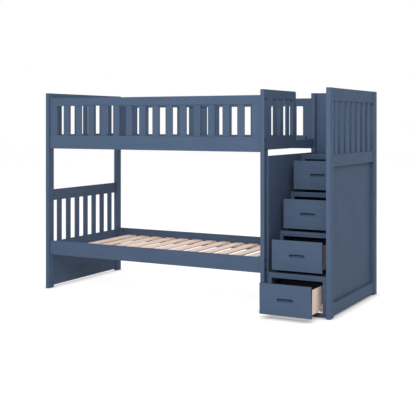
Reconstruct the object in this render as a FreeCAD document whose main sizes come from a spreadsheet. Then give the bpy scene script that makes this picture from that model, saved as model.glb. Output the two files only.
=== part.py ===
import FreeCAD, Part
import os
import re
import Sketcher

# Bunk bed with storage stairs at its right end. Millimetres, +Z up, front towards -Y.
# The origin is on the floor, at the middle of the whole bed as it stands with its drawers pulled out.

STEPS = 4

# Driving sizes: name, value and what it measures.
SIZES = (
    ("mattress_length", 1930, "clear length between the two bed ends"),
    ("bed_depth", 1092, "front to back over the posts"),
    ("stair_width", 474, "clear width between the inner and the outer end"),
    ("post_thick", 32, "posts, along the bed"),
    ("post_width", 70, "posts, across the bed"),
    ("post_height", 1628, "posts of the two bed ends, from the floor"),
    ("outer_post_rise", 4, "posts of the outer end, above the posts of the bed ends"),
    ("rail_thick", 25, "side rails and guard rails"),
    ("rail_setback", 16, "side and guard rails, behind the faces of the posts"),
    ("end_rail_setback", 7, "rails of the inner and outer end, behind the right faces of their posts"),
    ("left_rail_inset", 11, "rails of the left end, behind the inner faces of its posts"),
    ("left_rail_thick", 18, "rails of the left end"),
    ("edge_ease", 2, "rounding of every board edge"),
    ("slat_width", 59, "upright slats of guards and ends"),
    ("slat_thick", 12, "upright slats of guards and ends"),
    ("end_slat_inset", 8, "upright slats of an end, from the left faces of its posts"),
    ("guard_slat_count", 14, "slats in a front or back guard"),
    ("guard_slat_setback", 3.5, "guard slats, behind the outward faces of their rails"),
    ("guard_stile", 74, "end stiles of the guards"),
    ("back_guard_right_stile", 84, "back guard's stile at the inner end"),
    ("guard_top_height", 66, "top rail of a front or back guard"),
    ("guard_drop", 42, "top of a front or back guard, below the tops of the posts"),
    ("upper_rail_drop", 461, "underside of the upper side rails, below the tops of the posts"),
    ("upper_rail_height", 110, "upper side rails"),
    ("lower_rail_bottom", 283, "underside of the lower side rails"),
    ("lower_rail_height", 114.5, "lower side rails"),
    ("end_slat_count", 7, "slats across an end"),
    ("end_top_height", 68, "top rail of the left end and of the entry guard"),
    ("end_rail_drop", 445, "underside of the upper end rails, below the tops of the posts"),
    ("end_rail_height", 100, "upper rail of the left end"),
    ("inner_rail_height", 65, "upper rail of the inner end, under the entry guard"),
    ("headboard_height", 821, "top of the lower headboard"),
    ("headboard_rail_height", 91, "top and bottom rail of the lower headboard"),
    ("headboard_slot_height", 347, "opening in the lower headboard"),
    ("foot_gap", 17, "foot rails above the floor"),
    ("foot_rail_height", 66, "foot rail of the left end"),
    ("outer_foot_height", 82, "foot rail of the outer end"),
    ("lower_panel_thick", 12, "boards under the headboard"),
    ("lower_panel_front", 420, "front board under the headboard, across the bed"),
    ("lower_panel_seam", 5, "joint between the two boards under the headboard"),
    ("entry_guard_length", 560, "entry guard, from the front post towards the entry"),
    ("entry_near_stile", 77.5, "entry guard's stile at the post"),
    ("entry_end_stile", 64.5, "entry guard's stile at the entry"),
    ("entry_slat_count", 3, "slats in the entry guard"),
    ("entry_corner_radius", 15, "rounded top corner of the entry guard"),
    ("outer_top_height", 92, "top rail of the outer end"),
    ("outer_mid_height", 86, "mid rail of the outer end"),
    ("outer_mid_drop", 60, "underside of the mid rail, below the top tread"),
    ("bed_slat_count", 13, "slats under a mattress"),
    ("bed_slat_width", 86, "slats under a mattress"),
    ("bed_slat_thick", 10, "slats under a mattress"),
    ("bed_slat_first_gap", 114, "from the left end to the first slat"),
    ("bed_slat_last_gap", 67, "from the last slat to the inner end"),
    ("bed_slat_play", 2, "between a slat's end and the side rail"),
    ("ledger_size", 25, "square ledgers that carry the slats"),
    ("ledger_end_gap", 80, "ledgers, short of the bed ends"),
    ("ledger_rise", 47, "top of a ledger above the underside of its side rail"),
    ("step_rise", 280, "from tread to tread"),
    ("step_base", 9, "added to the rise of the first step"),
    ("step_run", 218, "from step face to step face"),
    ("step_setback", 40, "first step face, behind the faces of the posts"),
    ("stair_side_thick", 12, "left and right side of the stairs"),
    ("stair_side_setback", 47, "front edge of the stair sides, behind the faces of the posts"),
    ("stair_side_lip", 10.5, "stair sides above the top tread"),
    ("stair_back_thick", 16, "back panel of the stairs"),
    ("tread_thick", 20, "treads"),
    ("frame_thick", 20, "face frames under the treads"),
    ("frame_stile", 28.5, "uprights of a face frame"),
    ("frame_top_height", 16.5, "top rail of a face frame"),
    ("frame_bottom_height", 20, "bottom rail of a face frame"),
    ("drawer_pull_out", 218, "how far the drawers stand open"),
    ("top_drawer_pull_out", 235, "how far the top drawer stands open"),
    ("drawer_front_thick", 20, "drawer fronts"),
    ("drawer_front_gap", 1.5, "around a drawer front in its frame"),
    ("drawer_back_gap", 28, "from a closed top drawer to the back panel"),
    ("drawer_side_inset", 12, "drawer sides, inside the edges of the front"),
    ("drawer_side_lift", 18, "underside of a drawer side above the underside of its front"),
    ("drawer_side_height", 175, "drawer sides"),
    ("drawer_side_thick", 12, "drawer sides and back"),
    ("drawer_bottom_thick", 6, "drawer bottoms"),
    ("drawer_bottom_lift", 10, "drawer bottoms above the underside of the sides"),
    ("pull_width", 122, "finger pull routed into a drawer front"),
    ("pull_height", 22, "finger pull routed into a drawer front"),
    ("pull_depth", 12, "finger pull routed into a drawer front"),
    ("runner_back_gap", 13, "from the top drawer's runners to the back panel"),
    ("runner_thick", 15, "ledge that a drawer side slides on"),
    ("runner_guide_height", 40, "guide strip beside a drawer side"),
    ("runner_clear", 0.3, "under a drawer side, and behind the front of a shut drawer"),
    ("guide_clear", 0.8, "beside a drawer side"),
    ("bolt_diameter", 8, "rail bolts"),
    ("bolt_clear", 0.3, "around a bolt's shank, its head and a barrel nut"),
    ("bolt_head_diameter", 20, "rail bolts"),
    ("bolt_head_thick", 3.5, "rail bolts"),
    ("bolt_sink", 0.5, "bolt heads below the face of the post"),
    ("bolt_socket", 6, "hexagon socket, across the corners"),
    ("bolt_socket_depth", 2, "hexagon socket"),
    ("bolt_spread", 68, "between the two bolts at a side rail's end"),
    ("barrel_diameter", 16, "barrel nuts"),
    ("barrel_length", 19, "barrel nuts"),
    ("barrel_setback", 55, "barrel nuts from the end of their rail"),
    ("barrel_slot", 1.5, "screwdriver slot of a barrel nut, wide and deep"),
    ("screw_diameter", 4, "panel screws"),
    ("screw_head_diameter", 12, "panel screws"),
    ("screw_head_thick", 3, "panel screws"),
    ("screw_bite", 8, "panel screws into the stair side"),
    ("screw_inset", 85, "outermost panel screws, from the posts"),
    ("screw_rise", 27, "panel screws above the underside of their rail"),
)

# Places that follow from the sizes, each named after what it locates.
PLACES = (
    ("bed_length", "mattress_length + 3 * post_thick + stair_width"),
    ("left_x", "-bed_length / 2"),
    ("bed_x", "left_x + post_thick"),
    ("inner_x", "bed_x + mattress_length"),
    ("stair_x", "inner_x + post_thick"),
    ("outer_x", "stair_x + stair_width"),
    ("front_y", "(drawer_pull_out - step_setback - bed_depth) / 2"),
    ("back_y", "front_y + bed_depth"),
    ("front_rail_y", "front_y + rail_setback"),
    ("back_rail_y", "back_y - rail_setback - rail_thick"),
    ("end_y", "front_y + post_width"),
    ("end_span", "bed_depth - 2 * post_width"),
    ("end_rail_thick", "post_thick - end_rail_setback"),
    ("left_rail_x", "bed_x - left_rail_inset - left_rail_thick"),
    ("end_slat_gap", "(end_span - end_slat_count * slat_width) / (end_slat_count + 1)"),
    ("outer_post_height", "post_height + outer_post_rise"),
    ("upper_rail_bottom", "post_height - upper_rail_drop"),
    ("guard_z", "upper_rail_bottom + upper_rail_height"),
    ("guard_top_z", "post_height - guard_drop - guard_top_height"),
    ("guard_slot_height", "guard_top_z - guard_z"),
    ("front_guard_span", "mattress_length - 2 * guard_stile"),
    ("front_guard_gap", "(front_guard_span - guard_slat_count * slat_width) / (guard_slat_count + 1)"),
    ("front_slat_y", "front_rail_y + guard_slat_setback"),
    ("back_guard_span", "mattress_length - guard_stile - back_guard_right_stile"),
    ("back_guard_gap", "(back_guard_span - guard_slat_count * slat_width) / (guard_slat_count + 1)"),
    ("back_slat_y", "back_rail_y + rail_thick - guard_slat_setback - slat_thick"),
    ("end_rail_bottom", "post_height - end_rail_drop"),
    ("end_slat_z", "end_rail_bottom + end_rail_height"),
    ("end_top_z", "post_height - end_top_height"),
    ("headboard_top_z", "headboard_height - headboard_rail_height"),
    ("headboard_slat_z", "headboard_top_z - headboard_slot_height"),
    ("headboard_z", "headboard_slat_z - headboard_rail_height"),
    ("lower_panel_z", "foot_gap + foot_rail_height"),
    ("entry_bottom_z", "end_rail_bottom + inner_rail_height"),
    ("entry_span", "entry_guard_length - entry_near_stile - entry_end_stile"),
    ("entry_slat_gap", "(entry_span - entry_slat_count * slat_width) / (entry_slat_count + 1)"),
    ("bed_slat_room", "mattress_length - bed_slat_first_gap - bed_slat_last_gap - bed_slat_width"),
    ("bed_slat_pitch", "bed_slat_room / (bed_slat_count - 1)"),
    ("stair_top", f"step_base + {STEPS} * step_rise"),
    ("stair_back_y", "back_y - rail_setback - stair_back_thick"),
    ("step_y", "front_y + step_setback"),
    ("stair_side_y", "front_y + stair_side_setback"),
    ("outer_mid_z", "stair_top - outer_mid_drop"),
    ("outer_slat_z", "outer_mid_z + outer_mid_height"),
    ("outer_top_z", "outer_post_height - outer_top_height"),
    ("tread_x", "stair_x + stair_side_thick"),
    ("tread_width", "stair_width - 2 * stair_side_thick"),
    ("opening_x", "tread_x + frame_stile"),
    ("opening_width", "tread_width - 2 * frame_stile"),
    ("opening_height", "step_rise - tread_thick - frame_top_height - frame_bottom_height"),
    ("drawer_x", "opening_x + drawer_front_gap"),
    ("drawer_width", "opening_width - 2 * drawer_front_gap"),
    ("drawer_height", "opening_height - 2 * drawer_front_gap"),
    ("drawer_front_z", "frame_bottom_height + drawer_front_gap"),
    ("drawer_side_z", "drawer_front_z + drawer_side_lift"),
    ("top_drawer_y", f"step_y + {STEPS - 1} * step_run + drawer_front_thick"),
    ("drawer_depth", "stair_back_y - top_drawer_y - drawer_back_gap"),
    ("runner_length", "drawer_depth + drawer_back_gap - runner_back_gap - runner_clear"),
    ("box_x", "drawer_x + drawer_side_inset"),
    ("box_width", "drawer_width - 2 * drawer_side_inset"),
    ("guide_width", "box_x - guide_clear - tread_x"),
    ("runner_width", "box_x + drawer_side_thick - tread_x"),
    ("runner_top", "drawer_side_z - runner_clear"),
    ("bolt_bore", "bolt_diameter / 2 + bolt_clear"),
    ("bolt_counterbore", "bolt_head_diameter / 2 + bolt_clear"),
    ("bolt_counterbore_depth", "bolt_head_thick + bolt_sink"),
    ("bolt_shank", "post_thick - bolt_counterbore_depth + barrel_setback + barrel_diameter / 2"),
    ("guard_bolt_z", "guard_top_z + guard_top_height / 2"),
    ("upper_bolt_z", "upper_rail_bottom + upper_rail_height / 2"),
    ("lower_bolt_z", "lower_rail_bottom + lower_rail_height / 2"),
    ("screw_bore", "screw_diameter / 2 + bolt_clear"),
    ("screw_face_x", "outer_x + end_rail_thick"),
    ("screw_shank", "end_rail_thick - screw_head_thick + screw_bite"),
)

SHEET_OF = {name: "Sizes" for name, _, _ in SIZES}
SHEET_OF.update({name: "Places" for name, _ in PLACES})

doc = FreeCAD.newDocument("BunkBed")
nodes = []


def expression(words):
    """The expression with the sheet put before each size and place that it names."""
    def with_sheet(match):
        name = match.group()
        return f"{SHEET_OF[name]}.{name}" if name in SHEET_OF else name
    return re.sub(r"[A-Za-z_]\w*", with_sheet, words)


def bind(feature, path, words):
    feature.setExpression(path, expression(words))


def place(feature, low):
    for axis, words in zip("xyz", low):
        bind(feature, f"Placement.Base.{axis}", words)


def make_sheets():
    sizes = doc.addObject("Spreadsheet::Sheet", "Sizes")
    for row, (name, value, meaning) in enumerate(SIZES, 1):
        sizes.set(f"A{row}", meaning)
        sizes.set(f"B{row}", str(value))
        sizes.setAlias(f"B{row}", name)
    places = doc.addObject("Spreadsheet::Sheet", "Places")
    for row, (name, words) in enumerate(PLACES, 1):
        places.set(f"A{row}", name)
        places.set(f"B{row}", "=" + expression(words))
        places.setAlias(f"B{row}", name)
    doc.recompute()


def node(feature):
    """Keep a finished sub-part: its label names its file."""
    nodes.append(feature)
    return feature


def origin_feature(body, role):
    return next(feature for feature in body.Origin.OriginFeatures if feature.Role == role)


def padded(label, low, size):
    """A body with one rectangular pad: its low corner and its sizes along X, Y and Z."""
    body = doc.addObject("PartDesign::Body", label)
    outline = body.newObject("Sketcher::SketchObject", f"{label}_outline")
    outline.AttachmentSupport = [(origin_feature(body, "XY_Plane"), "")]
    outline.MapMode = "FlatFace"
    corners = [FreeCAD.Vector(x, y, 0) for x, y in ((0, 0), (1, 0), (1, 1), (0, 1))]
    for start, end in zip(corners, corners[1:] + corners[:1]):
        outline.addGeometry(Part.LineSegment(start, end), False)
    for side, direction in enumerate(("Horizontal", "Vertical", "Horizontal", "Vertical")):
        outline.addConstraint(Sketcher.Constraint("Coincident", side, 2, (side + 1) % 4, 1))
        outline.addConstraint(Sketcher.Constraint(direction, side))
    outline.addConstraint(Sketcher.Constraint("Coincident", 0, 1, -1, 1))
    along = outline.addConstraint(Sketcher.Constraint("DistanceX", 0, 1, 0, 2, 1))
    across = outline.addConstraint(Sketcher.Constraint("DistanceY", 1, 1, 1, 2, 1))
    bind(outline, f"Constraints[{along}]", size[0])
    bind(outline, f"Constraints[{across}]", size[1])
    pad = body.newObject("PartDesign::Pad", f"{label}_pad")
    pad.Profile = outline
    bind(pad, "Length", size[2])
    place(body, low)
    return body, pad


def ease_edges(body, feature, size):
    """Round every edge a little, less on a board that is thin."""
    eased = body.newObject("PartDesign::Fillet", f"{body.Name}_eased")
    eased.Base = (feature, [""])
    eased.UseAllEdges = True
    limits = "; ".join(f"({words}) / 5" for words in size)
    bind(eased, "Radius", f"min(edge_ease; {limits})")
    return eased


def board(label, low, size):
    body, pad = padded(label, low, size)
    ease_edges(body, pad, size)
    return body


def board_row(label, low, size, axis, pitch, count):
    """Equal boards in a row along one axis, one solid each."""
    body, pad = padded(label, low, size)
    ease_edges(body, pad, size)
    doc.recompute()
    row = body.newObject("PartDesign::LinearPattern", f"{label}_row")
    row.TransformMode = "Whole shape"
    row.Direction = (origin_feature(body, f"{axis}_Axis"), [""])
    row.Mode = "Spacing"
    bind(row, "Offset", pitch)
    bind(row, "Occurrences", count)
    body.Tip = row
    return body


TURN = {
    "+X": FreeCAD.Rotation(FreeCAD.Vector(0, 1, 0), 90),
    "-X": FreeCAD.Rotation(FreeCAD.Vector(0, 1, 0), -90),
    "+Y": FreeCAD.Rotation(FreeCAD.Vector(1, 0, 0), -90),
    "-Y": FreeCAD.Rotation(FreeCAD.Vector(1, 0, 0), 90),
}


def turned(feature, start, heading):
    """Set a feature that was made along +Z at its start, along its heading."""
    feature.Placement = FreeCAD.Placement(FreeCAD.Vector(), TURN[heading])
    place(feature, start)
    return feature


def rod(label, start, heading, radius, length):
    cylinder = doc.addObject("Part::Cylinder", label)
    bind(cylinder, "Radius", radius)
    bind(cylinder, "Height", length)
    return turned(cylinder, start, heading)


def block(label, low, size):
    box = doc.addObject("Part::Box", label)
    for side, words in zip(("Length", "Width", "Height"), size):
        bind(box, side, words)
    place(box, low)
    return box


def group(label, pieces):
    compound = doc.addObject("Part::Compound", label)
    compound.Links = pieces
    return compound


def fused(label, pieces):
    fusion = doc.addObject("Part::MultiFuse", label)
    fusion.Shapes = pieces
    return fusion


def cut(label, base, tool):
    result = doc.addObject("Part::Cut", label)
    result.Base = base
    result.Tool = tool
    return result


def post_size(height):
    return "post_thick", "post_width", height


def end_rail(label, x, z, height, thick="end_rail_thick"):
    """A rail between the two posts of an end."""
    return board(label, (x, "end_y", z), (thick, "end_span", height))


def end_slats(label, end_x, z, top):
    """The upright slats across an end."""
    return board_row(label, (f"{end_x} + end_slat_inset", "end_y + end_slat_gap", z),
                     ("slat_thick", "slat_width", f"{top} - {z}"),
                     "Y", "slat_width + end_slat_gap", "end_slat_count")


# Bolted joints: every rail's end bolts, with the bores that they need in post and rail.
POST_ENDS = (("left", "left_x", "+X", 1), ("inner", "stair_x", "-X", -1))
RAIL_SIDES = (("front", "front_rail_y"), ("back", "back_rail_y"))
RAIL_LEVELS = (("guard", ("guard_bolt_z",)),
               ("upper", ("upper_bolt_z - bolt_spread / 2", "upper_bolt_z + bolt_spread / 2")),
               ("lower", ("lower_bolt_z - bolt_spread / 2", "lower_bolt_z + bolt_spread / 2")))


def bolt(label, face, heading, inward):
    """A bolt with a flat round head and a hexagon socket, its head just below the post's face."""
    x, y, z = face
    head_x = f"{x} + {inward} * bolt_sink"
    shank_x = f"{x} + {inward} * bolt_counterbore_depth"
    head = rod(f"{label}_head", (head_x, y, z), heading, "bolt_head_diameter / 2", "bolt_head_thick")
    shank = rod(f"{label}_shank", (shank_x, y, z), heading, "bolt_diameter / 2", "bolt_shank")
    socket = doc.addObject("Part::Prism", f"{label}_socket")
    socket.Polygon = 6
    bind(socket, "Circumradius", "bolt_socket / 2")
    bind(socket, "Height", "bolt_socket_depth")
    turned(socket, (head_x, y, z), heading)
    return cut(label, fused(f"{label}_blank", [head, shank]), socket)


def barrel_nut(label, mouth, heading, bolt_bore):
    """A cross-bored barrel with a screwdriver slot in the end that shows."""
    x, y, z = mouth
    outward = 1 if heading == "-Y" else -1
    barrel = rod(f"{label}_barrel", mouth, heading, "barrel_diameter / 2", "barrel_length")
    slot_y = f"{y} - barrel_slot" if outward > 0 else y
    slot = block(f"{label}_slot", (f"{x} - barrel_diameter", slot_y, f"{z} - barrel_slot / 2"),
                 ("2 * barrel_diameter", "barrel_slot", "barrel_slot"))
    return cut(label, barrel, group(f"{label}_cuts", [slot, bolt_bore]))


def nut_mouth(side, rail_y, level):
    """Where a barrel nut goes in and its heading: at the back of guard rails, inside on side rails."""
    if side == "front" or level == "guard":
        return f"{rail_y} + rail_thick", "-Y"
    return rail_y, "+Y"


def make_bolted_joints():
    """Bolts and barrel nuts, and by name the bores for each post and each rail."""
    bolts = []
    nuts = []
    bores = {}
    for end, face_x, heading, inward in POST_ENDS:
        for side, rail_y in RAIL_SIDES:
            post = f"{end}_{side}_post"
            for level, heights in RAIL_LEVELS:
                mouth_y, nut_heading = nut_mouth(side, rail_y, level)
                rail = f"{side}_guard_top_rail" if level == "guard" else f"{level}_{side}_rail"
                for number, z in enumerate(heights, 1):
                    label = f"{end}_{side}_{level}_{number}"
                    y = f"{rail_y} + rail_thick / 2"
                    nut_x = f"{face_x} + {inward} * (post_thick + barrel_setback)"
                    bore = rod(f"{label}_bore", (face_x, y, z), heading, "bolt_bore",
                               "bolt_counterbore_depth + bolt_shank + bolt_clear")
                    counterbore = rod(f"{label}_counterbore", (face_x, y, z), heading,
                                      "bolt_counterbore", "bolt_counterbore_depth")
                    nut_hole = rod(f"{label}_nut_hole", (nut_x, mouth_y, z), nut_heading,
                                   "barrel_diameter / 2 + bolt_clear", "barrel_length")
                    bores.setdefault(post, []).append(fused(f"{label}_post_bore", [bore, counterbore]))
                    bores.setdefault(rail, []).append(fused(f"{label}_rail_bore", [bore, nut_hole]))
                    bolts.append(bolt(f"{label}_bolt", (face_x, y, z), heading, inward))
                    nuts.append(barrel_nut(f"{label}_nut", (nut_x, mouth_y, z), nut_heading, bore))
    node(group("rail_bolts", bolts))
    node(group("barrel_nuts", nuts))
    return bores


def bored(label, low, size, bores):
    """A board with its bores cut out."""
    return cut(label, board(f"{label}_blank", low, size), group(f"{label}_bores", bores))


def make_bed_posts(bores):
    for end, x in (("left", "left_x"), ("inner", "inner_x")):
        for side, y in (("front", "front_y"), ("back", "back_y - post_width")):
            label = f"{end}_{side}_post"
            node(bored(label, (x, y, "0"), post_size("post_height"), bores[label]))


def left_rail(label, z, height):
    node(end_rail(label, "left_rail_x", z, height, "left_rail_thick"))


def make_left_end():
    left_rail("left_top_rail", "end_top_z", "end_top_height")
    node(end_slats("left_upper_slats", "left_x", "end_slat_z", "end_top_z"))
    left_rail("left_upper_rail", "end_rail_bottom", "end_rail_height")
    left_rail("headboard_top_rail", "headboard_top_z", "headboard_rail_height")
    node(end_slats("headboard_slats", "left_x", "headboard_slat_z", "headboard_top_z"))
    left_rail("headboard_bottom_rail", "headboard_z", "headboard_rail_height")
    panel_x = "left_x + end_slat_inset"
    panel_height = "headboard_z - lower_panel_z"
    front = board("lower_panel_front_board", (panel_x, "end_y", "lower_panel_z"),
                  ("lower_panel_thick", "lower_panel_front", panel_height))
    back = board("lower_panel_back_board",
                 (panel_x, "end_y + lower_panel_front + lower_panel_seam", "lower_panel_z"),
                 ("lower_panel_thick", "end_span - lower_panel_front - lower_panel_seam", panel_height))
    node(group("left_lower_panel", [front, back]))
    left_rail("left_foot_rail", "foot_gap", "foot_rail_height")


def make_entry_top_rail():
    """The entry guard's top rail, its far top corner rounded."""
    size = ("end_rail_thick", "entry_guard_length", "end_top_height")
    body, pad = padded("entry_guard_top_rail", ("inner_x", "end_y", "end_top_z"), size)
    doc.recompute()
    far_top = max(pad.Shape.Edges, key=lambda edge: edge.CenterOfMass.y + edge.CenterOfMass.z)
    number = next(i for i, edge in enumerate(pad.Shape.Edges, 1) if edge.isSame(far_top))
    rounded = body.newObject("PartDesign::Fillet", "entry_guard_top_rail_rounded")
    rounded.Base = (pad, [f"Edge{number}"])
    bind(rounded, "Radius", "entry_corner_radius")
    ease_edges(body, rounded, size)
    return body


def make_inner_end():
    node(make_entry_top_rail())
    far_y = "end_y + entry_guard_length - entry_end_stile"
    slat_height = "end_top_z - end_slat_z"
    near = board("entry_near_stile", ("inner_x", "end_y", "end_slat_z"),
                 ("end_rail_thick", "entry_near_stile", slat_height))
    far = board("entry_far_stile", ("inner_x", far_y, "end_slat_z"),
                ("end_rail_thick", "entry_end_stile", slat_height))
    bottom = board("entry_bottom_rail", ("inner_x", "end_y", "entry_bottom_z"),
                   ("end_rail_thick", "entry_guard_length", "end_slat_z - entry_bottom_z"))
    slats = board_row("entry_slats",
                      ("inner_x + end_slat_inset", "end_y + entry_near_stile + entry_slat_gap", "end_slat_z"),
                      ("slat_thick", "slat_width", slat_height),
                      "Y", "slat_width + entry_slat_gap", "entry_slat_count")
    node(group("entry_guard_uprights", [near, slats, far, bottom]))
    node(end_rail("inner_end_rail", "inner_x", "end_rail_bottom", "inner_rail_height"))
    node(end_rail("inner_lower_rail", "inner_x", "headboard_z", "headboard_rail_height"))


def make_panel_screws():
    """Screws through the outer end's rails into the stair side, with their bores by rail."""
    screws = []
    bores = {}
    near = "end_y + screw_inset"
    middle = "end_y + end_span / 2"
    far = "end_y + end_span - screw_inset"
    for rail, bottom, places in (("mid", "outer_mid_z", (near, middle, far)),
                                 ("foot", "foot_gap", (near, far))):
        for number, y in enumerate(places, 1):
            label = f"{rail}_screw_{number}"
            z = f"{bottom} + screw_rise"
            neck_x = "screw_face_x - screw_head_thick"
            head = rod(f"{label}_head", ("screw_face_x", y, z), "-X", "screw_head_diameter / 2",
                       "screw_head_thick")
            shank = rod(f"{label}_shank", (neck_x, y, z), "-X", "screw_diameter / 2", "screw_shank")
            screws.append(fused(label, [head, shank]))
            seat = rod(f"{label}_seat", ("screw_face_x", y, z), "-X",
                       "screw_head_diameter / 2 + bolt_clear", "screw_head_thick")
            bore = rod(f"{label}_bore", ("screw_face_x", y, z), "-X", "screw_bore",
                       "screw_head_thick + screw_shank + bolt_clear")
            bores.setdefault(rail, []).append(fused(f"{label}_rail_bore", [seat, bore]))
            bores.setdefault("side", []).append(bore)
    node(group("panel_screws", screws))
    return bores


def make_outer_end(bores):
    for side, y in (("front", "front_y"), ("back", "back_y - post_width")):
        node(board(f"outer_{side}_post", ("outer_x", y, "0"), post_size("outer_post_height")))
    node(end_rail("outer_top_rail", "outer_x", "outer_top_z", "outer_top_height"))
    node(end_slats("outer_slats", "outer_x", "outer_slat_z", "outer_top_z"))
    for label, rail, z, height in (("outer_mid_rail", "mid", "outer_mid_z", "outer_mid_height"),
                                   ("outer_foot_rail", "foot", "foot_gap", "outer_foot_height")):
        node(bored(label, ("outer_x", "end_y", z), ("end_rail_thick", "end_span", height), bores[rail]))


def make_guards(bores):
    for side, y in (("front", "front_rail_y"), ("back", "back_rail_y")):
        label = f"{side}_guard_top_rail"
        node(bored(label, ("bed_x", y, "guard_top_z"),
                   ("mattress_length", "rail_thick", "guard_top_height"), bores[label]))
        right_width = "guard_stile" if side == "front" else "back_guard_right_stile"
        gap = f"{side}_guard_gap"
        left = board(f"{side}_left_stile", ("bed_x", y, "guard_z"),
                     ("guard_stile", "rail_thick", "guard_slot_height"))
        right = board(f"{side}_right_stile", (f"inner_x - {right_width}", y, "guard_z"),
                      (right_width, "rail_thick", "guard_slot_height"))
        slats = board_row(f"{side}_guard_slats",
                          (f"bed_x + guard_stile + {gap}", f"{side}_slat_y", "guard_z"),
                          ("slat_width", "slat_thick", "guard_slot_height"),
                          "X", f"slat_width + {gap}", "guard_slat_count")
        node(group(f"{side}_guard_uprights", [left, slats, right]))


def make_deck(level, bores):
    """Side rails, ledgers and slats that carry one mattress."""
    bottom = f"{level}_rail_bottom"
    ledger_top = f"{bottom} + ledger_rise"
    for side, y, ledger_y in (("front", "front_rail_y", "front_rail_y + rail_thick"),
                              ("back", "back_rail_y", "back_rail_y - ledger_size")):
        label = f"{level}_{side}_rail"
        node(bored(label, ("bed_x", y, bottom),
                   ("mattress_length", "rail_thick", f"{level}_rail_height"), bores[label]))
        node(board(f"{level}_{side}_ledger",
                   ("bed_x + ledger_end_gap", ledger_y, f"{ledger_top} - ledger_size"),
                   ("mattress_length - 2 * ledger_end_gap", "ledger_size", "ledger_size")))
    slat_y = "front_rail_y + rail_thick + bed_slat_play"
    node(board_row(f"{level}_bed_slats", ("bed_x + bed_slat_first_gap", slat_y, ledger_top),
                   ("bed_slat_width", f"back_rail_y - bed_slat_play - ({slat_y})", "bed_slat_thick"),
                   "X", "bed_slat_pitch", "bed_slat_count"))


def make_stair_case(bores):
    depth = "stair_back_y - stair_side_y"
    size = ("stair_side_thick", depth, "stair_top + stair_side_lip")
    node(board("stair_left_side", ("stair_x", "stair_side_y", "0"), size))
    node(bored("stair_right_side", ("outer_x - stair_side_thick", "stair_side_y", "0"), size, bores["side"]))
    node(board("stair_back_panel", ("stair_x", "stair_back_y", "0"),
               ("stair_width", "stair_back_thick", "post_height")))


def step_z(step):
    """The level that a step's frame and drawer stand on."""
    return f"step_base + {step - 1} * step_rise"


def make_step(step):
    """One tread and the face frame that carries its front edge, the lowest one down to the floor."""
    face_y = f"step_y + {step - 1} * step_run"
    foot_z = step_z(step) if step > 1 else "0"
    tread_z = f"{step_z(step + 1)} - tread_thick"
    back_y = "stair_back_y" if step == STEPS else f"{face_y} + step_run + frame_thick"
    node(board(f"tread_{step}", ("tread_x", face_y, tread_z),
               ("tread_width", f"{back_y} - ({face_y})", "tread_thick")))
    stile = ("frame_stile", "frame_thick", f"{tread_z} - ({foot_z})")
    left = board(f"frame_{step}_left", ("tread_x", face_y, foot_z), stile)
    right = board(f"frame_{step}_right", ("opening_x + opening_width", face_y, foot_z), stile)
    bottom = board(f"frame_{step}_bottom", ("opening_x", face_y, foot_z),
                   ("opening_width", "frame_thick", f"{step_z(step)} + frame_bottom_height - ({foot_z})"))
    top = board(f"frame_{step}_top", ("opening_x", face_y, f"{tread_z} - frame_top_height"),
                ("opening_width", "frame_thick", "frame_top_height"))
    node(group(f"step_frame_{step}", [left, right, bottom, top]))


def make_runners():
    """A ledge under each drawer side, with a guide strip on it that keeps the drawer straight."""
    for side, ledge_x, guide_x in (("left", "tread_x", "tread_x"),
                                   ("right", "tread_x + tread_width - runner_width",
                                    "tread_x + tread_width - guide_width")):
        pieces = []
        for step in range(1, STEPS + 1):
            y = f"step_y + {step - 1} * step_run + drawer_front_thick + runner_clear"
            z = f"{step_z(step)} + runner_top"
            pieces.append(board(f"{side}_ledge_{step}", (ledge_x, y, f"{z} - runner_thick"),
                                ("runner_width", "runner_length", "runner_thick")))
            pieces.append(board(f"{side}_guide_{step}", (guide_x, y, z),
                                ("guide_width", "runner_length", "runner_guide_height")))
        node(group(f"{side}_drawer_runners", pieces))


def finger_pull(label, face):
    """The routed slot with round ends, as the solid to cut out of a drawer front."""
    x, y, z = face
    run = "(pull_width - pull_height)"
    middle = block(f"{label}_middle", (f"{x} - {run} / 2", y, f"{z} - pull_height / 2"),
                   (run, "pull_depth", "pull_height"))
    ends = [rod(f"{label}_{name}", (f"{x} {sign} {run} / 2", y, z), "+Y", "pull_height / 2", "pull_depth")
            for name, sign in (("left", "-"), ("right", "+"))]
    return fused(label, [middle] + ends)


def make_drawer(step):
    """A drawer front with its finger pull, and the box behind it, standing open."""
    name = f"drawer_{step}"
    pull_out = "top_drawer_pull_out" if step == STEPS else "drawer_pull_out"
    face_y = f"step_y + {step - 1} * step_run - {pull_out}"
    front_z = f"{step_z(step)} + drawer_front_z"
    blank = board(f"{name}_blank", ("drawer_x", face_y, front_z),
                  ("drawer_width", "drawer_front_thick", "drawer_height"))
    pull = finger_pull(f"{name}_pull",
                       ("drawer_x + drawer_width / 2", face_y, f"{front_z} + drawer_height / 2"))
    node(cut(f"{name}_front", blank, pull))
    box_y = f"{face_y} + drawer_front_thick"
    box_z = f"{step_z(step)} + drawer_side_z"
    side = ("drawer_side_thick", "drawer_depth", "drawer_side_height")
    left = board(f"{name}_left_side", ("box_x", box_y, box_z), side)
    right = board(f"{name}_right_side", ("box_x + box_width - drawer_side_thick", box_y, box_z), side)
    inner_x = "box_x + drawer_side_thick"
    inner_width = "box_width - 2 * drawer_side_thick"
    back = board(f"{name}_back", (inner_x, f"{box_y} + drawer_depth - drawer_side_thick", box_z),
                 (inner_width, "drawer_side_thick", "drawer_side_height"))
    bottom = board(f"{name}_bottom", (inner_x, box_y, f"{box_z} + drawer_bottom_lift"),
                   (inner_width, "drawer_depth - drawer_side_thick", "drawer_bottom_thick"))
    node(group(f"{name}_box", [left, right, back, bottom]))


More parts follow.
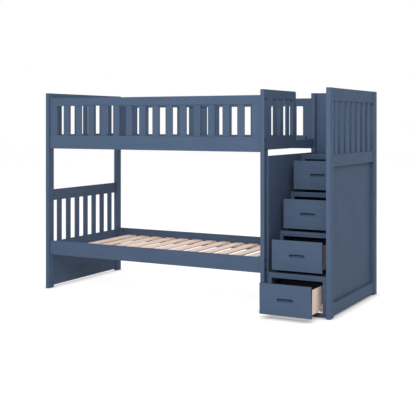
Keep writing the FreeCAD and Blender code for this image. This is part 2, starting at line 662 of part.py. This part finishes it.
def check_document():
    failed = [item.Name for item in doc.Objects if {"Invalid", "Error"} & set(item.State)]
    if failed:
        raise RuntimeError(f"failed features: {failed}")
    for item in nodes:
        if item.Shape.isNull() or not item.Shape.isValid() or not item.Shape.Solids:
            raise RuntimeError(f"bad shape: {item.Label}")


def write_parts():
    os.makedirs("parts", exist_ok=True)
    for item in nodes:
        item.Shape.exportStep(os.path.join("parts", f"{item.Label}.step"))
    solids = sum(len(item.Shape.Solids) for item in nodes)
    print(f"{len(nodes)} sub-parts, {solids} solids")


make_sheets()
rail_bores = make_bolted_joints()
make_bed_posts(rail_bores)
make_left_end()
make_inner_end()
screw_bores = make_panel_screws()
make_outer_end(screw_bores)
make_guards(rail_bores)
make_deck("upper", rail_bores)
make_deck("lower", rail_bores)
make_stair_case(screw_bores)
make_runners()
for number in range(1, STEPS + 1):
    make_step(number)
    make_drawer(number)
doc.recompute()
check_document()
write_parts()
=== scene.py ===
import math

import bpy
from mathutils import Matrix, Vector


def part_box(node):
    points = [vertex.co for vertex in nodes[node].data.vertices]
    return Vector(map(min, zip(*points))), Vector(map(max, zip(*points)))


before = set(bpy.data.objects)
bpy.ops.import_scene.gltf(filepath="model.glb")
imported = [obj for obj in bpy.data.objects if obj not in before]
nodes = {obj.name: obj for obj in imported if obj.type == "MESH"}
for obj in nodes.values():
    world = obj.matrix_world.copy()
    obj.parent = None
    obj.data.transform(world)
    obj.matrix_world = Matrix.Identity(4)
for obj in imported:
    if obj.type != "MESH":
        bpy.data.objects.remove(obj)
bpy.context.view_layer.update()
scene = bpy.context.scene
scene.view_settings.view_transform = "Standard"


def linear(red, green, blue):
    """A colour given in 8-bit display values, as the shader's linear numbers."""
    def one(value):
        value /= 255
        return value / 12.92 if value <= 0.04045 else ((value + 0.055) / 1.055) ** 2.4
    return one(red), one(green), one(blue), 1.0


def grey(level):
    """A grey of that linear level."""
    return level, level, level, 1.0


# Colours of the finishes, and of the painted shade in the finger pulls and inside the drawer boxes
PAINT_DEEP = linear(78, 94, 118)
PAINT_PALE = linear(85, 103, 128)
PAINT_PORE = linear(60, 73, 94)
PULL_PAINTED_SHADE = linear(18, 22, 28)
WOOD_LATE = linear(252, 225, 208)
WOOD_EARLY = linear(255, 240, 227)
WOOD_FIBRE = linear(240, 204, 184)
WOOD_TINT = linear(248, 213, 194)
INSIDE_SHADE_DEEP = linear(16, 15, 15)
INSIDE_SHADE_PALE = linear(26, 24, 23)
BRONZE_DEEP = linear(17, 15, 14)
BRONZE_PALE = linear(28, 25, 22)
PLATING_DEEP = linear(26, 22, 19)
PLATING_PALE = linear(66, 56, 48)

# Gloss, roughness and relief of the finishes, with relief in metres
PAINT_GLOSS = 0.03
WOOD_GLOSS = 0.3
PAINT_ROUGHNESS = (0.46, 0.62)
WOOD_ROUGHNESS = (0.52, 0.72)
BRONZE_ROUGHNESS = 0.55
PLATING_ROUGHNESS = 0.35
ROUGHNESS_SPREAD = 0.1
GRAIN_RELIEF = 0.0004
GRAIN_RELIEF_STRENGTH = 0.4
MOTTLE_RELIEF = 0.0002
MOTTLE_RELIEF_STRENGTH = 0.3

# How boards differ from each other: their grain's shift in metres, their seed's step and their tone
GRAIN_SHIFT = 7.0
SEED_STEP = 0.37
BOARD_TONE = 0.16

# Patterns in the finishes: noise scaled alike each way, or along and across the grain
PAINT_CLOUDS = {"scale": 3.5, "detail": 2.0}
WOOD_CLOUDS = {"scale": 4.0, "detail": 2.0}
STREAKS = {"along": 2.2, "across": 70.0, "detail": 4.0, "roughness": 0.6, "distortion": 0.3}
SPECKS = {"along": 14.0, "across": 420.0, "detail": 2.0, "roughness": 0.5}
WAVES = {"along": 0.5, "across": 15.0, "detail": 2.0, "roughness": 0.45, "distortion": 0.8}
FIBRES = {"along": 7.0, "across": 380.0, "roughness": 0.6}
MOTTLE = {"scale": 700.0}
RINGS_IN_A_WAVE = 9.0
PORE_STRENGTH = 0.14

# How the patterns' values turn into levels, as pairs of a value and its level
PORE_LEVELS = ((0.28, 0.0), (0.44, 1.0))
TONE_LEVELS = ((0.30, 0.0), (0.70, 1.0))
RING_LEVELS = ((0.0, 0.25), (0.72, 1.0), (0.90, 0.0), (1.0, 0.25))
FIBRE_LEVELS = ((0.35, 0.30), (0.62, 0.0))

# Painted shade in a finger pull: where it starts behind the face and under the middle, and its spans, in
# metres
PULL_START = 0.001
PULL_DEPTH = 0.006
PULL_BELOW = 0.004
PULL_RISE = 0.010

# Strength of that painted shade low in the pull and under its upper edge
PULL_LEAST = 0.25
PULL_MOST = 0.90

# Boards in rows: widths in metres and counts
SLAT_WIDTH = 0.059
GUARD_STILE = 0.074
ENTRY_NEAR_STILE = 0.0775
ENTRY_FAR_STILE = 0.0645
BED_SLAT_WIDTH = 0.086
END_SLATS = 7
ENTRY_SLATS = 3
GUARD_SLATS = 14
BED_SLATS = 13

# Drawers, one in each step: the thickness of their sides, and how far the painted shade inside them reaches
# into it, in metres
STEPS = range(1, 5)
DRAWER_SIDE = 0.012
INSIDE_SHADE_MARGIN = 0.001

# A face looks upward where its normal's Z is over this; such faces of the drawer boxes get painted shade
UPWARD = 0.5


class Shader:
    """A node tree under construction: short calls for the nodes that it is made of."""

    def __init__(self, owner, surface="Principled BSDF"):
        owner.use_nodes = True
        self.tree = owner.node_tree
        self.surface = self.tree.nodes[surface]

    def node(self, kind, **settings):
        made = self.tree.nodes.new(kind)
        for key, value in settings.items():
            setattr(made, key, value)
        return made

    def put(self, value, socket):
        """Links a socket to another node's output, or gives it a plain value."""
        if isinstance(value, bpy.types.NodeSocket):
            self.tree.links.new(value, socket)
        else:
            socket.default_value = value

    def give(self, name, value):
        """The same for an input of the surface, by its name."""
        self.put(value, self.surface.inputs[name])

    def coordinates(self, kind):
        return self.node("ShaderNodeTexCoord").outputs[kind]

    def parts(self, vector):
        """The X, Y and Z of a vector."""
        made = self.node("ShaderNodeSeparateXYZ")
        self.put(vector, made.inputs[0])
        return made.outputs

    def math(self, operation, first, second=0.0, third=0.0, clamp=False):
        made = self.node("ShaderNodeMath", operation=operation, use_clamp=clamp)
        for socket, value in zip(made.inputs, (first, second, third)):
            self.put(value, socket)
        return made.outputs[0]

    def between(self, value, low, high):
        """A value from 0 to 1, as a level from low to high."""
        return self.math("MULTIPLY_ADD", value, high - low, low)

    def weigh(self, *terms):
        """The sum of values, each times its weight."""
        total = 0.0
        for value, weight in terms:
            total = self.math("MULTIPLY_ADD", value, weight, total)
        return total

    def vector(self, operation, first, second):
        made = self.node("ShaderNodeVectorMath", operation=operation)
        self.put(first, made.inputs[0])
        self.put(second, made.inputs[1])
        return made.outputs[0]

    def noise(self, coordinates, scale=1.0, detail=3.0, roughness=0.55, distortion=0.0):
        made = self.node("ShaderNodeTexNoise")
        self.put(coordinates, made.inputs["Vector"])
        made.inputs["Scale"].default_value = scale
        made.inputs["Detail"].default_value = detail
        made.inputs["Roughness"].default_value = roughness
        made.inputs["Distortion"].default_value = distortion
        return made.outputs[0]

    def ramp(self, value, *stops):
        """The value mapped through pairs of a value and its level."""
        made = self.node("ShaderNodeValToRGB")
        self.put(value, made.inputs[0])
        points = made.color_ramp.elements
        while len(points) < len(stops):
            points.new(0.5)
        for point, (place, level) in zip(points, stops):
            point.position = place
            point.color = grey(level)
        return made.outputs[0]

    def mix(self, factor, first, second):
        # The node's colours are its inputs 6 and 7 and its output 2
        made = self.node("ShaderNodeMix", data_type="RGBA")
        self.put(factor, made.inputs[0])
        self.put(first, made.inputs[6])
        self.put(second, made.inputs[7])
        return made.outputs[2]

    def bump(self, height, distance, strength):
        made = self.node("ShaderNodeBump")
        made.inputs["Strength"].default_value = strength
        made.inputs["Distance"].default_value = distance
        self.put(height, made.inputs["Height"])
        self.give("Normal", made.outputs[0])


def board_coordinates(shader, row):
    """Object coordinates, moved at random for each node and each board of its row, so that grains differ.

    row is (axis, start, pitch) where the boards of a node stand in a row. The number from 0 to 1 that is
    drawn for each board comes with the coordinates.
    """
    place = shader.coordinates("Object")
    seed = shader.node("ShaderNodeObjectInfo").outputs["Random"]
    if row:
        axis, start, pitch = row
        along = shader.math("SUBTRACT", shader.parts(place)[axis], start)
        count = shader.math("FLOOR", shader.math("DIVIDE", along, pitch))
        seed = shader.math("ADD", seed, shader.math("MULTIPLY", count, SEED_STEP))
    chance = shader.node("ShaderNodeTexWhiteNoise", noise_dimensions="1D")
    shader.put(seed, chance.inputs["W"])
    shift = shader.vector("MULTIPLY", chance.outputs["Color"], (GRAIN_SHIFT, GRAIN_SHIFT, GRAIN_SHIFT))
    return shader.vector("ADD", place, shift), chance.outputs["Value"]


def grain_noise(shader, place, grain, along, across, **settings):
    """Noise drawn out along the grain: along and across are its scales in those directions."""
    scale = [along if axis == grain else across for axis in "XYZ"]
    return shader.noise(shader.vector("MULTIPLY", place, scale), **settings)


def painted_pull_shade(shader, colour, front, middle):
    """The colour with painted shade in a front's finger pull, most of all under the pull's upper edge."""
    place = shader.parts(shader.coordinates("Object"))
    depth = shader.math("SUBTRACT", place["Y"], front + PULL_START)
    inside = shader.math("DIVIDE", depth, PULL_DEPTH, clamp=True)
    rise = shader.math("SUBTRACT", place["Z"], middle - PULL_BELOW)
    upper = shader.math("DIVIDE", rise, PULL_RISE, clamp=True)
    shade = shader.math("MULTIPLY", inside, shader.between(upper, PULL_LEAST, PULL_MOST))
    return shader.mix(shade, colour, PULL_PAINTED_SHADE)


def paint(name, grain, row=None, pull=None):
    """Satin blue-grey paint through which the wood's grain shows a little.

    row is as for board_coordinates. pull is (Y of the face, Z of the middle) of a front with a finger pull,
    which gets painted shade.
    """
    material = bpy.data.materials.new(name)
    shader = Shader(material)
    place, chance = board_coordinates(shader, row)
    clouds = shader.noise(place, **PAINT_CLOUDS)
    streaks = grain_noise(shader, place, grain, **STREAKS)
    pores = shader.ramp(grain_noise(shader, place, grain, **SPECKS), *PORE_LEVELS)
    board = shader.math("SUBTRACT", chance, 0.5)
    tone = shader.weigh((streaks, 0.6), (clouds, 0.4), (board, BOARD_TONE))
    colour = shader.mix(shader.ramp(tone, *TONE_LEVELS), PAINT_DEEP, PAINT_PALE)
    colour = shader.mix(shader.between(pores, PORE_STRENGTH, 0.0), colour, PAINT_PORE)
    # Painted shade in the finger pull
    if pull:
        colour = painted_pull_shade(shader, colour, *pull)
    shader.give("Base Color", colour)
    shader.give("Roughness", shader.between(streaks, *PAINT_ROUGHNESS))
    shader.give("Specular IOR Level", PAINT_GLOSS)
    shader.bump(shader.weigh((streaks, 0.7), (pores, 0.3)), GRAIN_RELIEF, GRAIN_RELIEF_STRENGTH)
    return material


def inside_shade_mask(shader, middle, half):
    """1 where a box gets painted shade, on all that lies between its sides and on its upward faces, and 0
    elsewhere.
    """
    place = shader.parts(shader.coordinates("Object"))
    facing = shader.parts(shader.coordinates("Normal"))
    aside = shader.math("ABSOLUTE", shader.math("SUBTRACT", place["X"], middle))
    between_sides = shader.math("LESS_THAN", aside, half)
    upward = shader.math("GREATER_THAN", facing["Z"], UPWARD)
    return shader.math("MAXIMUM", between_sides, upward)


def bare_wood(name, grain, row=None, inside_shade=None):
    """Sanded pale softwood with growth rings, fine fibres and a tint that varies from board to board.

    row is as for board_coordinates. The last argument is (middle, half width) across X of a box whose inside
    and upward faces get painted shade, near black.
    """
    material = bpy.data.materials.new(name)
    shader = Shader(material)
    place, chance = board_coordinates(shader, row)
    waves = grain_noise(shader, place, grain, **WAVES)
    phase = shader.math("FRACT", shader.math("MULTIPLY", waves, RINGS_IN_A_WAVE))
    rings = shader.ramp(phase, *RING_LEVELS)
    fibres = grain_noise(shader, place, grain, **FIBRES)
    clouds = shader.noise(place, **WOOD_CLOUDS)
    colour = shader.mix(rings, WOOD_LATE, WOOD_EARLY)
    colour = shader.mix(shader.ramp(fibres, *FIBRE_LEVELS), colour, WOOD_FIBRE)
    colour = shader.mix(shader.weigh((clouds, 0.2), (chance, 0.3)), colour, WOOD_TINT)
    # Painted shade, near black, inside the box and on its upward faces
    if inside_shade:
        inside_shade_colour = shader.mix(fibres, INSIDE_SHADE_DEEP, INSIDE_SHADE_PALE)
        colour = shader.mix(inside_shade_mask(shader, *inside_shade), colour, inside_shade_colour)
    shader.give("Base Color", colour)
    shader.give("Roughness", shader.between(fibres, *WOOD_ROUGHNESS))
    shader.give("Specular IOR Level", WOOD_GLOSS)
    shader.bump(shader.weigh((fibres, 1.0), (rings, 0.4)), GRAIN_RELIEF, GRAIN_RELIEF_STRENGTH)
    return material


def metal(name, deep, pale, roughness):
    """Turned metal with a fine mottle in its plating."""
    material = bpy.data.materials.new(name)
    shader = Shader(material)
    mottle = shader.noise(shader.coordinates("Object"), **MOTTLE)
    least = roughness - ROUGHNESS_SPREAD
    most = roughness + ROUGHNESS_SPREAD
    shader.give("Base Color", shader.mix(mottle, deep, pale))
    shader.give("Roughness", shader.between(mottle, least, most))
    shader.give("Metallic", 1.0)
    shader.bump(mottle, MOTTLE_RELIEF, MOTTLE_RELIEF_STRENGTH)
    return material


def spacing(node, axis, count, width):
    """Where the equal boards of a node stand: axis, the middle of the gap before the first, and pitch."""
    low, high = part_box(node)
    index = "XYZ".index(axis)
    pitch = (high[index] - low[index] - width) / (count - 1)
    return axis, low[index] - (pitch - width) / 2, pitch


def framed_spacing(node, axis, count, width, first, last):
    """The same for boards that stand between two stiles of the node, of the first and last width."""
    low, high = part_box(node)
    index = "XYZ".index(axis)
    gap = (high[index] - low[index] - first - last - count * width) / (count + 1)
    return axis, low[index] + first + gap / 2, width + gap


def dress(material, *names):
    """Gives the named nodes the material in place of their own."""
    for name in names:
        nodes[name].data.materials.clear()
        nodes[name].data.materials.append(material)


# Painted posts, panels and rails
dress(paint("paint_upright", "Z"),
      "left_front_post", "left_back_post", "inner_front_post", "inner_back_post", "outer_front_post",
      "outer_back_post", "stair_left_side", "stair_right_side", "stair_back_panel",
      *(f"step_frame_{step}" for step in STEPS))
dress(paint("paint_lengthwise", "X"),
      "front_guard_top_rail", "back_guard_top_rail", "upper_front_rail", "upper_back_rail",
      "lower_front_rail", "lower_back_rail", *(f"tread_{step}" for step in STEPS))
# Drawer fronts, with painted shade in their finger pulls
for step in STEPS:
    low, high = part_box(f"drawer_{step}_front")
    pull = (low[1], (low[2] + high[2]) / 2)
    dress(paint(f"paint_drawer_{step}", "X", pull=pull), f"drawer_{step}_front")
dress(paint("paint_crosswise", "Y"),
      "left_top_rail", "left_upper_rail", "headboard_top_rail", "headboard_bottom_rail", "left_lower_panel",
      "left_foot_rail", "entry_guard_top_rail", "inner_end_rail", "inner_lower_rail", "outer_top_rail",
      "outer_mid_rail", "outer_foot_rail")

# Painted slats
end_row = spacing("outer_slats", "Y", END_SLATS, SLAT_WIDTH)
dress(paint("paint_end_slats", "Z", end_row), "left_upper_slats", "headboard_slats", "outer_slats")
entry_row = framed_spacing("entry_guard_uprights", "Y", ENTRY_SLATS, SLAT_WIDTH, ENTRY_NEAR_STILE,
                           ENTRY_FAR_STILE)
dress(paint("paint_entry_slats", "Z", entry_row), "entry_guard_uprights")
guard_row = framed_spacing("front_guard_uprights", "X", GUARD_SLATS, SLAT_WIDTH, GUARD_STILE, GUARD_STILE)
dress(paint("paint_guard_slats", "Z", guard_row), "front_guard_uprights", "back_guard_uprights")

# Bare wood
bed_row = spacing("lower_bed_slats", "X", BED_SLATS, BED_SLAT_WIDTH)
dress(bare_wood("wood_bed_slats", "Y", bed_row), "upper_bed_slats", "lower_bed_slats")
dress(bare_wood("wood_lengthwise", "X"),
      "upper_front_ledger", "upper_back_ledger", "lower_front_ledger", "lower_back_ledger")
dress(bare_wood("wood_runners", "Y"), "left_drawer_runners", "right_drawer_runners")
# Drawer boxes: bare wood with painted shade inside and on their upward faces
box_low, box_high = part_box("drawer_1_box")
box_middle = (box_low[0] + box_high[0]) / 2
box_inside_shade = (box_middle, box_high[0] - box_middle - DRAWER_SIDE + INSIDE_SHADE_MARGIN)
dress(bare_wood("wood_drawers", "Y", inside_shade=box_inside_shade), *(f"drawer_{step}_box" for step in STEPS))

# Fasteners
dress(metal("dark_bronze", BRONZE_DEEP, BRONZE_PALE, BRONZE_ROUGHNESS), "rail_bolts", "panel_screws")
dress(metal("plating", PLATING_DEEP, PLATING_PALE, PLATING_ROUGHNESS), "barrel_nuts")


def seen_directly(shader):
    """1 for what the camera, gloss and glass see, and 0 for light that falls on the object."""
    path = shader.node("ShaderNodeLightPath")
    seen = shader.math("MAXIMUM", path.outputs["Is Camera Ray"], path.outputs["Is Glossy Ray"])
    return shader.math("MAXIMUM", seen, path.outputs["Is Transmission Ray"])


# Floor: it glows white where it is seen, except close to what stands on it
FLOOR_REACH = 40.0
FLOOR_BOUNCE = grey(0.8)
FLOOR_SEEN = grey(0.3)
FLOOR_GLOW = 0.88
FLOOR_SHADOW_REACH = 0.08
FLOOR_SHADOW_SAMPLES = 8
floor_corners = [(-FLOOR_REACH, -FLOOR_REACH, 0), (FLOOR_REACH, -FLOOR_REACH, 0),
                 (FLOOR_REACH, FLOOR_REACH, 0), (-FLOOR_REACH, FLOOR_REACH, 0)]
floor_mesh = bpy.data.meshes.new("floor")
floor_mesh.from_pydata(floor_corners, [], [(0, 1, 2, 3)])
floor = bpy.data.objects.new("floor", floor_mesh)
scene.collection.objects.link(floor)

floor_white = bpy.data.materials.new("floor_white")
white = Shader(floor_white)
shown = seen_directly(white)
openness = white.node("ShaderNodeAmbientOcclusion", samples=FLOOR_SHADOW_SAMPLES)
openness.inputs["Distance"].default_value = FLOOR_SHADOW_REACH
glow = white.math("MULTIPLY", shown, openness.outputs["AO"])
white.give("Base Color", white.mix(shown, FLOOR_BOUNCE, FLOOR_SEEN))
white.give("Roughness", 1.0)
white.give("Specular IOR Level", 0.0)
white.give("Emission Color", grey(1.0))
white.give("Emission Strength", white.math("MULTIPLY", glow, FLOOR_GLOW))
floor_mesh.materials.append(floor_white)

# World: white where it is seen, and dimmer as a light
WORLD_LIGHT = 0.39
world = bpy.data.worlds.new("studio")
scene.world = world
sky = Shader(world, "Background")
sky.give("Color", grey(1.0))
sky.give("Strength", sky.between(seen_directly(sky), WORLD_LIGHT, 1.0))

# Lamps
SOFTBOX_SIZE = 3.0


def softbox(name, place, aim, watts):
    """A square lamp at a place, turned to the point that it aims at."""
    lamp = bpy.data.lights.new(name, "AREA")
    lamp.shape = "SQUARE"
    lamp.size = SOFTBOX_SIZE
    lamp.energy = watts
    lamp_object = bpy.data.objects.new(name, lamp)
    lamp_object.location = place
    lamp_object.rotation_euler = (Vector(aim) - Vector(place)).to_track_quat("-Z", "Y").to_euler()
    scene.collection.objects.link(lamp_object)


softbox("key", place=(0.6, -6.0, 5.2), aim=(0.2, 0, 0.8), watts=140)
softbox("low", place=(2.2, -7.0, 1.7), aim=(0.4, 0, 0.8), watts=60)
softbox("key_right", place=(3.5, -6.0, 4.6), aim=(0.6, 0, 0.8), watts=115)
softbox("key_left", place=(-3.0, -6.0, 4.6), aim=(0, 0, 0.8), watts=45)
softbox("side", place=(5.5, 0.8, 4.8), aim=(1.0, 0, 0.9), watts=72)
softbox("back", place=(-0.5, 6.5, 4.8), aim=(0, 0, 0.8), watts=150)

# Camera: focal length and optical centre in pixels of the photograph, place in metres, turn in degrees
PHOTO = 416
FOCAL = 887.05
CENTRE_X = 194.52
CENTRE_Y = 122.14
CAMERA_PLACE = (3.3901, -6.3699, 1.3868)
CAMERA_TURN = 28.60
CAMERA_REACH = 200
SENSOR_WIDTH = 36.0
camera = bpy.data.cameras.new("camera")
camera.sensor_width = SENSOR_WIDTH
camera.lens = FOCAL / PHOTO * SENSOR_WIDTH
camera.shift_x = (PHOTO / 2 - CENTRE_X) / PHOTO
camera.shift_y = (CENTRE_Y - PHOTO / 2) / PHOTO
camera.clip_end = CAMERA_REACH
camera_object = bpy.data.objects.new("camera", camera)
camera_object.location = CAMERA_PLACE
camera_object.rotation_euler = (math.pi / 2, 0, math.radians(CAMERA_TURN))
scene.collection.objects.link(camera_object)
scene.camera = camera_object
